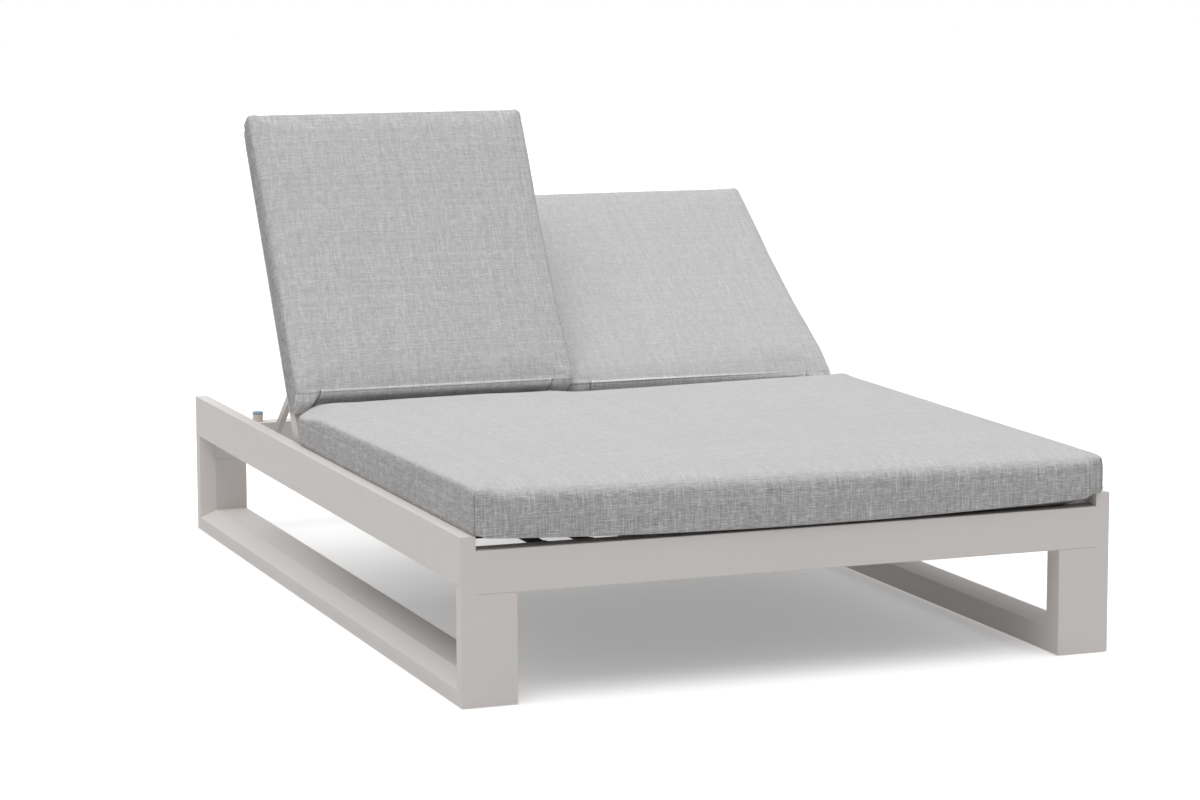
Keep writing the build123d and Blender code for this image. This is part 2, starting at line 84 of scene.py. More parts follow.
class LoungerSizes(bpy.types.PropertyGroup):
    edge_radius: bpy.props.FloatProperty(
        name="Edge radius", description="Rounding of the cushions' edges",
        default=0.045, min=0.005, unit="LENGTH")
    seat_rise: bpy.props.FloatProperty(
        name="Seat rise", description="How far the seat cushion stands above the plain solid's crown",
        default=0.009, min=0, unit="LENGTH")
    seat_crown: bpy.props.FloatProperty(
        name="Seat crown", description="Rise of the seat cushion's middle above its edges",
        default=0.006, min=0, unit="LENGTH")
    seat_twist: bpy.props.FloatProperty(
        name="Seat twist", description="How far the seat's front left and rear right corners stand up",
        default=0.008, min=0, unit="LENGTH")
    rear_reach: bpy.props.FloatProperty(
        name="Rear reach", description="How far the seat cushion bulges towards the left back cushion",
        default=0.045, min=0, max=0.05, unit="LENGTH")
    back_crown: bpy.props.FloatProperty(
        name="Back crown", description="Rise of a back cushion's middle above its edges",
        default=0.004, min=0, unit="LENGTH")
    left_lap: bpy.props.FloatProperty(
        name="Left lap", description="How far the left back cushion bulges out over the rail beside it",
        default=0.011, min=0, max=0.02, unit="LENGTH")
    right_lap: bpy.props.FloatProperty(
        name="Right lap", description="How far the right back cushion bulges out over the rail beside it",
        default=0.013, min=0, max=0.02, unit="LENGTH")
    inner_lap: bpy.props.FloatProperty(
        name="Inner lap",
        description="How much closer than the plain solids the back cushions lie to each other",
        default=0.003, min=0, max=0.004, unit="LENGTH")
    end_lap: bpy.props.FloatProperty(
        name="End lap", description="How far a back cushion stands out past the plain solid's top end",
        default=0.010, min=0, unit="LENGTH")
    corner_section: bpy.props.FloatProperty(
        name="Corner section", description="Width of the pieces sewn into a back cushion's lower corners",
        default=0.054, min=0.02, unit="LENGTH")
    front_overhang: bpy.props.FloatProperty(
        name="Front overhang", description="How far the seat cushion stands out over the front crossbar",
        default=0.010, min=0, unit="LENGTH")
    side_lap: bpy.props.FloatProperty(
        name="Side lap",
        description="How much further than the plain solid the seat cushion laps onto the right rail",
        default=0.007, min=0, unit="LENGTH")
    swelling: bpy.props.FloatProperty(
        name="Swelling", description="Furthest that the filling pushes the cover out",
        default=0.006, min=0, unit="LENGTH")
    seam_depth: bpy.props.FloatProperty(
        name="Seam depth", description="Depth of the groove along a seam",
        default=0.0022, min=0, unit="LENGTH")
    thread_pitch: bpy.props.FloatProperty(
        name="Thread pitch", description="Distance between two threads of the cushion cloth",
        default=0.0018, min=0.0005, unit="LENGTH")
    camera_lens: bpy.props.FloatProperty(
        name="Camera lens", description="Focal length of the camera in millimetres",
        default=97.85, min=20)


class LoungerColours(bpy.types.PropertyGroup):
    paint: bpy.props.FloatVectorProperty(
        name="Powder coat", description="Colour of the frame", subtype="COLOR",
        default=(0.75, 0.716, 0.695), min=0, max=1)
    cloth: bpy.props.FloatVectorProperty(
        name="Cloth", description="Colour of the cushion covers", subtype="COLOR",
        default=(0.605, 0.602, 0.602), min=0, max=1)
    webbing: bpy.props.FloatVectorProperty(
        name="Webbing", description="Colour of the elastic straps", subtype="COLOR",
        default=(0.033, 0.026, 0.022), min=0, max=1)
    dark_plastic: bpy.props.FloatVectorProperty(
        name="Dark plastic", description="Colour of the clips, bushes, plugs and glides", subtype="COLOR",
        default=(0.022, 0.021, 0.020), min=0, max=1)
    pale_plastic: bpy.props.FloatVectorProperty(
        name="Pale plastic", description="Colour of the rest posts", subtype="COLOR",
        default=(0.78, 0.72, 0.62), min=0, max=1)
    soft_tip: bpy.props.FloatVectorProperty(
        name="Soft tips", description="Colour of the rest posts' rubber tips", subtype="COLOR",
        default=(0.33, 0.46, 0.58), min=0, max=1)
    steel: bpy.props.FloatVectorProperty(
        name="Pin steel", description="Colour of the hinge and prop pins", subtype="COLOR",
        default=(0.56, 0.56, 0.57), min=0, max=1)


# Shader maths

class Value:
    """A socket in a finish that takes part in plain arithmetic."""

    def __init__(self, finish, socket):
        self.finish = finish
        self.socket = socket

    def maths(self, operation, *terms):
        return self.finish.value("ShaderNodeMath", {"operation": operation}, dict(enumerate(terms)))

    def __add__(self, other):
        return self.maths("ADD", self, other)

    def __sub__(self, other):
        return self.maths("SUBTRACT", self, other)

    def __rsub__(self, other):
        return self.maths("SUBTRACT", other, self)

    def __mul__(self, other):
        return self.maths("MULTIPLY", self, other)

    def __truediv__(self, other):
        return self.maths("DIVIDE", self, other)

    __radd__ = __add__
    __rmul__ = __mul__

    def wave(self, length):
        """A sine of this value, one wave for each length."""
        return (self * (2 * pi / length)).maths_alone("SINE")

    def maths_alone(self, operation):
        return self.maths(operation, self)

    def whole(self):
        return self.maths_alone("FLOOR")

    def line(self, width):
        """1 on a thin line where this value is zero."""
        return 1 - self.maths_alone("ABSOLUTE").between(0.3 * width, 0.7 * width)

    def chance(self):
        """A number from 0 to 1 that is the same wherever this value is."""
        return self.finish.value("ShaderNodeTexWhiteNoise", {"noise_dimensions": "1D"}, {"W": self})

    def between(self, low, high):
        """0 up to low, 1 from high on, and straight in between."""
        return self.finish.value(
            "ShaderNodeMapRange", {"clamp": True}, {"Value": self, "From Min": low, "From Max": high})


class Finish:
    """One material: its nodes, and the Principled shader that they feed."""

    def __init__(self, name):
        self.material = bpy.data.materials.new(name)
        self.material.use_nodes = True
        self.tree = self.material.node_tree
        self.tree.nodes.clear()
        self.shader = self.node("ShaderNodeBsdfPrincipled")
        output = self.node("ShaderNodeOutputMaterial")
        self.tree.links.new(self.shader.outputs["BSDF"], output.inputs["Surface"])

    def node(self, kind, settings=None, inputs=None):
        """Adds a node: its type, then its settings, then the values or links of its sockets."""
        made = self.tree.nodes.new(kind)
        for name, setting in (settings or {}).items():
            setattr(made, name, setting)
        for name, given in (inputs or {}).items():
            self.feed(made.inputs[name], given)
        return made

    def feed(self, socket, given):
        if isinstance(given, Value):
            given = given.socket
        if isinstance(given, bpy.types.NodeSocket):
            self.tree.links.new(given, socket)
        else:
            socket.default_value = given

    def value(self, kind, settings=None, inputs=None, output=0):
        return Value(self, self.node(kind, settings, inputs).outputs[output])

    def set(self, **inputs):
        """Sets the shader's sockets by their names, with _ for a space."""
        for name, given in inputs.items():
            self.feed(self.shader.inputs[name.replace("_", " ")], given)

    def place(self, tilt=0.0):
        """The point's own place on the piece, in metres, turned back by a tilt about X."""
        where = self.node("ShaderNodeTexCoord").outputs["Object"]
        if tilt:
            turned = self.node("ShaderNodeMapping", None, {"Vector": where, "Rotation": (-tilt, 0, 0)})
            where = turned.outputs[0]
        return where

    def axes(self, vector):
        parts = self.node("ShaderNodeSeparateXYZ", None, {"Vector": vector})
        return [Value(self, out) for out in parts.outputs]

    def vector(self, x, y, z=0.0):
        return self.value("ShaderNodeCombineXYZ", None, {"X": x, "Y": y, "Z": z})

    def noise(self, vector, scale, detail=1.0, flat=False):
        settings = {"noise_dimensions": "2D" if flat else "3D"}
        inputs = {"Vector": vector, "Scale": scale, "Detail": detail}
        return self.value("ShaderNodeTexNoise", settings, inputs)

    def shaded(self, colour, shade):
        """A colour made lighter or darker by a number."""
        return self.value("ShaderNodeVectorMath", {"operation": "SCALE"}, {0: colour, "Scale": shade})

    def mixed(self, share, first, second):
        """One colour at a share of 0, the other at a share of 1."""
        mix = self.node("ShaderNodeMix", {"data_type": "RGBA"}, {0: share, 6: (*first, 1), 7: (*second, 1)})
        return Value(self, mix.outputs[2])

    def kept(self, name):
        """A number that the mesh keeps at its points."""
        return self.value("ShaderNodeAttribute", {"attribute_name": name}, None, "Fac")

    def bump(self, height, distance):
        bump = self.node("ShaderNodeBump", None, {"Height": height, "Distance": distance})
        self.set(Normal=bump.outputs[0])


# Finishes

def powder_coat(colour):
    """Satin powder coat: a fine orange peel and a faint speckle."""
    coat = Finish("powder_coat")
    where = coat.place()
    peel = coat.noise(where, 650.0)
    speckle = coat.noise(where, 1400.0, 2.0)
    cloud = coat.noise(where, 5.0)
    shade = 0.97 + 0.05 * speckle + 0.03 * cloud
    coat.set(Base_Color=coat.shaded(colour, shade), Roughness=0.46 + 0.12 * peel)
    coat.set(IOR=1.42, Specular_IOR_Level=0.3)
    coat.bump(peel + 0.35 * speckle, 0.00012)
    return coat.material


def elastic_webbing(name, colour, along, tilt=0.0):
    """Ribbed elastic webbing: fine ribs along the strap and a closer weft across it."""
    rib_pitch, weft_pitch = 0.0032, 0.0016
    webbing = Finish(name)
    place = webbing.place(tilt)
    x, y, _ = webbing.axes(place)
    across, length = (x, y) if along == "y" else (y, x)
    ribs = across.wave(rib_pitch) * 0.5 + 0.5
    weft = length.wave(weft_pitch) * 0.5 + 0.5
    fuzz = webbing.noise(place, 900.0, 2.0)
    webbing.set(Base_Color=webbing.shaded(colour, 0.65 + 0.4 * ribs + 0.35 * fuzz))
    webbing.set(Roughness=0.82, Sheen_Weight=0.15)
    webbing.bump(ribs + 0.4 * weft, 0.0005)
    return webbing.material


def moulded_plastic(name, colour, roughness):
    """Moulded plastic with a fine spark-eroded grain."""
    plastic = Finish(name)
    where = plastic.place()
    grain = plastic.noise(where, 1800.0, 2.0)
    wear = plastic.noise(where, 60.0, 2.0)
    plastic.set(Base_Color=plastic.shaded(colour, 0.92 + 0.16 * wear))
    plastic.set(Roughness=roughness - 0.06 + 0.12 * wear)
    plastic.bump(grain, 0.00008)
    return plastic.material


def drawn_steel(colour):
    """Drawn steel pins: fine rings from the lathe and a few handling marks."""
    ring_pitch = 0.0009
    steel = Finish("drawn_steel")
    where = steel.place()
    x, _, _ = steel.axes(where)
    rings = x.wave(ring_pitch) * 0.5 + 0.5
    marks = steel.noise(where, 220.0, 3.0)
    steel.set(Base_Color=steel.shaded(colour, 0.88 + 0.2 * marks))
    steel.set(Metallic=1.0, Roughness=0.26 + 0.16 * marks)
    steel.bump(rings, 0.00004)
    return steel.material


def threads(cloth, across, along, pitch, per_metre):
    """The tone of each thread: one of its own all along, and lighter and darker runs, so many per metre."""
    own_tone = 0.22
    thread = (across / pitch).whole().chance()
    # Each thread takes its runs from another place in the noise
    start, row = thread * 70.0, thread * 90.0
    run = cloth.noise(cloth.vector(along * per_metre + start, row), 1.0, flat=True)
    return run + own_tone * (thread - 0.5)


def melange_cloth(colour, pitch):
    """Flat-woven outdoor cloth in two greys, with thick and thin threads both ways."""
    warp_runs, weft_runs, fibres, clouds = 36.0, 58.0, 900.0, 4.0  # per metre
    # Shares of painted shade: on the upright strips through the boxing attribute, and on the underside
    painted_boxing_shade, painted_underside_shade = 0.18, 0.5
    cloth = Finish("melange_cloth")
    laid = cloth.node("ShaderNodeUVMap", {"uv_map": "cloth"}).outputs[0]
    u, v, _ = cloth.axes(laid)
    warp = threads(cloth, u, v, pitch, warp_runs)
    weft = threads(cloth, v, u, 0.8 * pitch, weft_runs)
    grain = cloth.noise(cloth.vector(u * fibres, v * fibres), 1.0, flat=True)
    cloud = cloth.noise(cloth.vector(u * clouds, v * clouds), 1.0, 2.0, flat=True)
    # Above 0 on the upright strips, whose colour it darkens as painted shade, and below 0 on the backs' lower
    # ends, whose colour it lightens as painted light
    boxing = cloth.kept("boxing")
    seam, ridge = stitching(cloth)
    thick = warp.between(0.62, 0.72) + weft.between(0.64, 0.74)
    tones = {warp: 0.38, weft: 0.44, grain: 0.42, cloud: 0.05}
    mottle = sum(share * (tone - 0.5) for tone, share in tones.items())
    shade = 1 + cloth.kept("contrast") * (mottle + 0.05 * thick) - painted_boxing_shade * boxing
    bluer = (colour[0] * 0.975, colour[1] * 0.985, colour[2] * 1.01)
    warmer = (colour[0] * 1.02, colour[1], colour[2] * 0.98)
    tint = cloth.mixed(grain.between(0.42, 0.58), bluer, warmer)
    weave = (u.wave(pitch) * v.wave(pitch)) * 0.5 + 0.5
    # Painted shade along the seams, painted highlight on the lip's and corner pieces' edges, and painted shade on
    # the underside
    lines = (1 - 0.4 * seam + 0.45 * ridge) * (1 - painted_underside_shade * cloth.kept("underside"))
    cloth.set(Base_Color=cloth.shaded(tint, shade * lines), Roughness=0.9, Sheen_Weight=0.12)
    cloth.bump(0.5 * weave + warp + weft + 1.5 * ridge - 1.5 * seam, 0.0007)
    return cloth.material


def stitching(cloth):
    """The seams' lines and the raised edges beside them, from the distances kept on the mesh. They shape the bump,
    and in the colour the seams are painted shade and the edges painted highlight.
    """
    seam_width, ridge_width = 0.0034, 0.0042
    lip_seam_share, side_edge_share = 0.6, 0.7
    boxing = cloth.kept("boxing")
    lower_end = cloth.kept("lower_end")
    short_seam = cloth.kept("short_seam")
    lip = cloth.kept("lip")
    between_sections = 1 - short_seam.between(-0.002, 0.001)
    corner = cloth.kept("corner_seam").line(seam_width) * boxing.between(0.2, 0.5)
    section = short_seam.line(seam_width)
    below_lip = lip_seam_share * (lip - ridge_width).line(seam_width)
    edge = lip.line(ridge_width) * between_sections
    side_edge = (short_seam + ridge_width).line(ridge_width)
    seam = corner + (section + below_lip) * lower_end
    return seam, (edge + side_edge_share * side_edge) * lower_end


# Work on meshes

def select_only(piece):
    bpy.ops.object.select_all(action="DESELECT")
    piece.select_set(True)
    bpy.context.view_layer.objects.active = piece


def points_of(piece):
    points = np.empty(len(piece.data.vertices) * 3)
    piece.data.vertices.foreach_get("co", points)
    return points.reshape(-1, 3)


def move_points(piece, points):
    piece.data.vertices.foreach_set("co", np.ascontiguousarray(points).ravel())
    piece.data.update()


def ramp(values, start, end):
    """0 before start, 1 after end, with a soft start and finish."""
    share = np.clip((values - start) / (end - start), 0, 1)
    return share * share * (3 - 2 * share)


def rounded_block(name, low, high, radius, voxel):
    """A block with rounded edges and an even, fine mesh."""
    bpy.ops.object.select_all(action="DESELECT")
    bpy.ops.mesh.primitive_cube_add(size=1, location=(low + high) / 2, scale=high - low)
    block = bpy.context.active_object
    block.name = name
    block.data.name = name
    bpy.ops.object.transform_apply(location=True, rotation=True, scale=True)
    bpy.ops.object.mode_set(mode="EDIT")
    bpy.ops.mesh.select_all(action="SELECT")
    bpy.ops.mesh.bevel(offset=radius, segments=6, affect="EDGES")
    bpy.ops.object.mode_set(mode="OBJECT")
    block.data.remesh_voxel_size = voxel
    bpy.ops.object.voxel_remesh()
    return block


def square_up(points, low, high, radius, sides_power, near_power, far_power):
    """Draws a block's rounded edges to crisper lines. A power of 2 leaves an edge round and a higher one
    tightens it: the upright corners and lower edges always, the sides' and ends' upper edges as asked."""
    upright, lower = 7.0, 10.0
    out = points - np.clip(points, low + radius, high - radius)
    x, y, z = np.abs(out).T
    length = np.linalg.norm(out, axis=1)
    plan = (x**upright + y**upright) ** (1 / upright)
    end_power = np.where(out[:, 1] > 0, far_power, near_power)
    along = (points[:, 1] - low[1]) / (high[1] - low[1])
    nearest = np.where(along > 0.5, far_power, near_power)
    towards_end = ramp(np.abs(2 * along - 1), 0.2, 0.97)
    side_power = sides_power + np.maximum(nearest - sides_power, 0) * towards_end
    upper = end_power + (side_power - end_power) * x / np.maximum(x + y, tiny)
    power = np.where(out[:, 2] > 0, upper, lower)
    tight = (plan**power + z**power) ** (1 / power)
    return points + out * (length / np.maximum(tight, tiny) - 1)[:, None]


def fit_between(piece, low, high):
    """Stretches a piece a little, so that it just fills its room."""
    points = points_of(piece)
    start = points.min(axis=0)
    move_points(piece, low + (points - start) * (high - low) / (points.max(axis=0) - start))


def fill_with_air(piece, held, most):
    """Swells a cover with the Cloth simulation, and lets no point move further than most."""
    pressure, steps = 4.0, 20
    before = points_of(piece)
    group = piece.vertex_groups.new(name="held")
    for index in np.flatnonzero(held > 0):
        group.add([int(index)], float(held[index]), "REPLACE")
    select_only(piece)
    cloth = piece.modifiers.new("air", "CLOTH")
    cloth.settings.use_pressure = True
    cloth.settings.uniform_pressure_force = pressure
    cloth.settings.effector_weights.gravity = 0.0
    cloth.settings.vertex_group_mass = group.name
    cloth.settings.quality = 4
    cloth.collision_settings.use_collision = False
    cloth.point_cache.frame_start = 1
    cloth.point_cache.frame_end = steps
    for step in range(1, steps + 1):
        bpy.context.scene.frame_set(step)
    bpy.ops.object.modifier_apply(modifier=cloth.name)
    bpy.context.scene.frame_set(1)
    moved = points_of(piece) - before
    length = np.linalg.norm(moved, axis=1, keepdims=True)
    share = np.minimum(1, most / np.maximum(length, tiny))
    move_points(piece, before + moved * share)
    piece.vertex_groups.clear()


def subdivide_once(piece):
    select_only(piece)
    finer = piece.modifiers.new("finer", "SUBSURF")
    finer.levels = 1
    finer.render_levels = 1
    bpy.ops.object.modifier_apply(modifier=finer.name)


def fill_shape(piece, shape, held, swelling):
    """Gives a block its shape, fills it, and makes it finer and as large as its shape again."""
    move_points(piece, shape)
    fill_with_air(piece, held, swelling)
    subdivide_once(piece)
    fit_between(piece, shape.min(axis=0), shape.max(axis=0))


def normals_of(piece):
    normals = np.empty(len(piece.data.vertices) * 3)
    piece.data.vertex_normals.foreach_get("vector", normals)
    return normals.reshape(-1, 3)


def near(distance, reach):
    """1 at a distance of nothing, softly down to 0 at the reach."""
    return 1 - ramp(np.abs(distance), 0, reach)


def keep(piece, **marks):
    """Keeps numbers at the piece's points for the cloth's shader."""
    for name, numbers in marks.items():
        kept = piece.data.attributes.new(name, "FLOAT", "POINT")
        kept.data.foreach_set("value", numbers.astype(np.float32))


def boxing_of(piece):
    """1 on the upright strips round a cushion, 0 on its top and underside."""
    return 1 - ramp(np.abs(normals_of(piece)[:, 2]), 0.25, 0.85)


def underside_of(piece):
    """1 on a cushion's underside, whose cloth colour is darkened there as painted shade, and 0 elsewhere."""
    return ramp(-normals_of(piece)[:, 2], 0.75, 0.92)


def contrast_of(strips, top):
    """How strongly the threads' tones show: as asked on top, and at its strongest on the upright strips."""
    strongest = 1.5
    return top + (strongest - top) * strips


def along_of(piece):
    """Each point's share of the way along the piece, from 0 at its near end to 1 at its far end."""
    y = points_of(piece)[:, 1]
    return (y - y.min()) / (y.max() - y.min())


def push_out(piece, distance):
    move_points(piece, points_of(piece) + normals_of(piece) * distance[:, None])


def lay_cloth(piece, top, half_width, ends):
    """Lays the cloth's threads on a cushion: flat over the top, and down over its edges without a break."""
    mesh = piece.data
    points = points_of(piece)
    corner = np.empty(len(mesh.loops), int)
    mesh.loops.foreach_get("vertex_index", corner)
    normals = np.empty(len(mesh.polygons) * 3)
    mesh.polygons.foreach_get("normal", normals)
    counts = np.empty(len(mesh.polygons), int)
    mesh.polygons.foreach_get("loop_total", counts)
    normal = np.repeat(normals.reshape(-1, 3), counts, axis=0)
    x, y, z = points[corner].T
    drop = top - z
    middle = (ends[0] + ends[1]) / 2
    to_side = np.abs(normal[:, 0]) > np.maximum(np.abs(normal[:, 1]), np.abs(normal[:, 2]))
    to_end = (np.abs(normal[:, 1]) > np.abs(normal[:, 2])) & ~to_side
    u = np.where(to_side, np.sign(x) * half_width + np.sign(normal[:, 0]) * drop, x)
    v = np.where(to_end, np.where(y < middle, ends[0] - drop, ends[1] + drop), y)
    layer = mesh.uv_layers.new(name="cloth")
    layer.data.foreach_set("uv", np.column_stack((u, v)).ravel())


def tilt_up(piece, side):
    """Raises a cushion drawn flat, from its hinge at the origin, to its place on the back."""
    select_only(piece)
    turn = Matrix.Translation(joint_place(f"{side}_back_hinge")) @ Matrix.Rotation(rest_angle(side), 4, "X")
    piece.data.transform(turn)
    piece.data.update()


def finish_cushion(piece, cloth, body, node):
    piece.data.materials.clear()
    piece.data.materials.append(cloth)
    piece.data.polygons.foreach_set("use_smooth", [True] * len(piece.data.polygons))
    piece.data.update()
    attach(piece, body)
    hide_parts(node)


def cushion_cloth(scene):
    """The cushions' one shared cloth, made the first time that it is asked for."""
    found = bpy.data.materials.get("melange_cloth")
    return found or melange_cloth(scene.lounger_colours.cloth, scene.lounger_sizes.thread_pitch)


def corner_seam(x, y, half_width, ends, radius):
    """How far a point on a cushion's upright side is from the middle of its nearest rounded corner.
    Below 0, it is on the end's side of that corner."""
    out_x = np.abs(x) - (half_width - radius)
    out_y = np.maximum(ends[0] + radius - y, y - (ends[1] - radius))
    return (out_x - out_y) / 2**0.5


# The seat cushion's shape

def seat_bed(x, y, half_width, front):
    """Height of what the seat cushion lies on: straps, the rails beside them, and the lifted front edge."""
    left_reach, less_reach = 0.34, 0.28
    left_lift, right_lift, middle_lift = 0.020, 0.016, 0.006
    over_rail = (rail_top - deck_top) * ramp(np.abs(x), half_width - 0.075, half_width - 0.012)
    reach = left_reach - less_reach * ramp(x, -0.1, 0.2)
    corner_lift = np.where(x < 0, left_lift, right_lift)
    lifted = (middle_lift + corner_lift * (x / half_width) ** 2) * (1 - ramp((y - front) / reach, 0, 1))
    return deck_top + strap_thickness / 2 + np.maximum(over_rail, lifted)


def seat_shape(block, low, high, sizes):
    """The seat cushion's points before the filling, and which of them lie on the bed and stay there."""
    side_power, front_power, rear_power = 7.0, 2.3, 8.0
    rear_droop, droop_width, bulge_edge = 0.014, 0.08, 0.06
    front, rear = low[1], high[1]
    half_width = (high[0] - low[0]) / 2
    x, y, z = square_up(block, low, high, sizes.edge_radius, side_power, front_power, rear_power).T
    share = (z - low[2]) / (high[2] - low[2])
    held = np.where(share < 0.02, 1.0, 0.0)
    along = (y - front) / (rear - front)
    across = x / half_width
    crown = sizes.seat_crown * (1 - np.abs(across) ** 5) * (1 - np.abs(2 * along - 1) ** 5)
    drooping = rear_droop * (1 - ramp(x + half_width, 0, droop_width)) * ramp(along, 0.85, 0.97)
    top = high[2] + sizes.seat_twist * across * (2 * along - 1) - drooping
    bed = seat_bed(x, y, half_width, front)
    z = bed + share * (top - bed) + crown * ramp(share, 0.5, 1.0)
    under_left_back = ramp(x + half_width, 0.0, bulge_edge) * (1 - ramp(x, -bulge_edge, -0.01))
    bulge = ramp(along, 0.85, 1.0) * ramp(share, 0.05, 0.95) * under_left_back
    return np.column_stack((x, y + sizes.rear_reach * bulge, z)), held


# The back cushions' shape

class BackRoom:
    """The room of one back cushion, laid flat: its hinge at the origin, its own middle at a width of 0."""

    def __init__(self, side, sizes):
        corners = np.array([vertex.co for vertex in nodes[f"{side}_back_cushion"].data.vertices])
        x, y, z = (corners - joint_place(f"{side}_back_hinge")).T
        angle = rest_angle(side)
        run = y * cos(angle) + z * sin(angle)
        rise = -y * sin(angle) + z * cos(angle)
        inner = np.abs(x).min() - sizes.inner_lap
        outer = np.abs(x).max()
        self.outward = np.sign(x.mean())
        self.half_width = (outer - inner) / 2
        self.middle = self.outward * (inner + outer) / 2
        self.low = np.array((-self.half_width, run.min(), rise.min()))
        self.high = np.array((self.half_width, run.max() + sizes.end_lap, rise.max()))
        self.ends = (self.low[1], self.high[1])
        self.hinge_height = joint_place(f"{side}_back_hinge")[2]


def back_shape(block, room, sizes):
    """A back cushion's points before the filling, and which of them lie on the straps and stay there."""
    side_power, end_power = 3.4, 8.0
    lap_width, lap_start, lap_full = 0.12, 0.046, 0.064
    pressed_depth = 0.009 if room.outward > 0 else 0.0
    low, high, half_width, outward = room.low, room.high, room.half_width, room.outward
    x, y, z = square_up(block, low, high, sizes.edge_radius, side_power, end_power, end_power).T
    share = (z - low[2]) / (high[2] - low[2])
    held = np.where(share < 0.02, 1.0, 0.0)
    along = (y - low[1]) / (high[1] - low[1])
    crown = sizes.back_crown * (1 - (x / half_width) ** 4) * (1 - (2 * along - 1) ** 4)
    over_rail = ramp(outward * x, half_width - lap_width, half_width) * ramp(z, lap_start, lap_full)
    pressed = pressed_depth * ramp(x, -0.2, half_width) * (1 - ramp(along, 0, 0.15))
    lap = sizes.left_lap * (0.4 + 0.6 * along) if outward < 0 else sizes.right_lap
    x = x + outward * lap * over_rail
    return np.column_stack((x, y, z + (crown - pressed) * ramp(share, 0.3, 1.0))), held


def sew_back(piece, room, sizes):
    """Draws a back cushion's seams and lip, and keeps them for the shader.
    Gives how far the lower end's corner pieces hang down."""
    low, high, outward, radius = room.low, room.high, room.outward, sizes.edge_radius
    hang, left_hang = 0.005, 0.011 * (outward < 0)
    # Painted shade on the upright sides, stronger on the left back's, and painted light on the lower end
    side_painted_shade, top_contrast = (1.7, 1.0) if outward < 0 else (1.0, 0.65)
    end_painted_light = 1.8
    x, y, z = points_of(piece).T
    lower_end = ramp(-normals_of(piece)[:, 1], 0.3, 0.6)
    seam = corner_seam(x, y, room.half_width, room.ends, radius)
    short_seam = np.abs(x) - (room.half_width - sizes.corner_section)
    turned = np.arctan2(low[1] + radius - y, z - (high[2] - radius))
    lip = (turned - pi / 4) * 1.26 * radius
    boxing = boxing_of(piece)
    groove = near(seam, groove_reach) * ramp(boxing, 0.2, 0.5) + near(short_seam, groove_reach) * lower_end
    push_out(piece, sizes.seam_depth * (near(lip, groove_reach) * lower_end - groove))
    hanging = hang + left_hang * ramp(-x, 0, 0.1)
    in_corner = ramp(short_seam, 0, 0.02) * ramp(lip, 0, 0.025) * (1 - ramp(along_of(piece), 0, 0.1))
    contrast = contrast_of(np.maximum(boxing, lower_end), top_contrast)
    # The boxing attribute keeps this painted shade of the sides and painted light of the lower end
    tone = side_painted_shade * boxing * (1 - lower_end) - end_painted_light * lower_end
    keep(piece, boxing=tone, corner_seam=seam, short_seam=short_seam, lip=lip, lower_end=lower_end,
         underside=underside_of(piece), contrast=contrast)
    return hanging * in_corner


def clear_of_frame(points, room):
    """Keeps a back cushion off the rail up to the rail's top, and sinks its outer strip beside the tube."""
    most_lap, strip_drop, strip_height = 0.02, 0.011, 0.05
    low, half_width, outward = room.low, room.half_width, room.outward
    x, y, z = points.T
    above_rail = ramp(z - rail_top + room.hinge_height, 0.0055, 0.016)
    x = outward * np.minimum(outward * x, half_width + most_lap * above_rail)
    beside_tube = ramp(outward * x, half_width - 0.0085, half_width - 0.006)
    bed = low[2] - strip_drop * beside_tube
    share = np.clip((z - low[2]) / strip_height, 0, 1)
    return np.column_stack((x, y, np.maximum(z - strip_drop * beside_tube * (1 - share), bed)))


# Operators

class LOUNGER_OT_coat_frame(bpy.types.Operator):
    """Gives every tube, leg, beam and rack its powder coat"""
    bl_idname = "lounger.coat_frame"
    bl_label = "Coat the frame"

    def execute(self, context):
        coat = powder_coat(context.scene.lounger_colours.paint)
        for name in names_in_slot("frame_paint"):
            dress(name, coat)
        return {"FINISHED"}


class LOUNGER_OT_weave_straps(bpy.types.Operator):
    """Gives the seat's and the backs' elastic straps their ribbed weave"""
    bl_idname = "lounger.weave_straps"
    bl_label = "Weave the straps"

    def execute(self, context):
        colour = context.scene.lounger_colours.webbing
        places = {"seat": 0.0}
        for side in sides:
            places[f"{side}_back"] = rest_angle(side)
        for place, tilt in places.items():
            dress(f"{place}_long_straps", elastic_webbing(f"{place}_long_webbing", colour, "y", tilt))
            dress(f"{place}_cross_straps", elastic_webbing(f"{place}_cross_webbing", colour, "x", tilt))
        return {"FINISHED"}


class LOUNGER_OT_finish_fittings(bpy.types.Operator):
    """Gives the clips, bushes, plugs, glides, posts and pins their plastics, rubber and steel"""
    bl_idname = "lounger.finish_fittings"
    bl_label = "Finish the fittings"

    def execute(self, context):
        colours = context.scene.lounger_colours
        finishes = {
            "dark_plastic": moulded_plastic("dark_plastic", colours.dark_plastic, 0.5),
            "pale_plastic": moulded_plastic("pale_plastic", colours.pale_plastic, 0.45),
            "soft_tip": moulded_plastic("soft_rubber", colours.soft_tip, 0.7),
            "pin_steel": drawn_steel(colours.steel),
        }
        for slot, finish in finishes.items():
            for name in names_in_slot(slot):
                dress(name, finish)
        return {"FINISHED"}


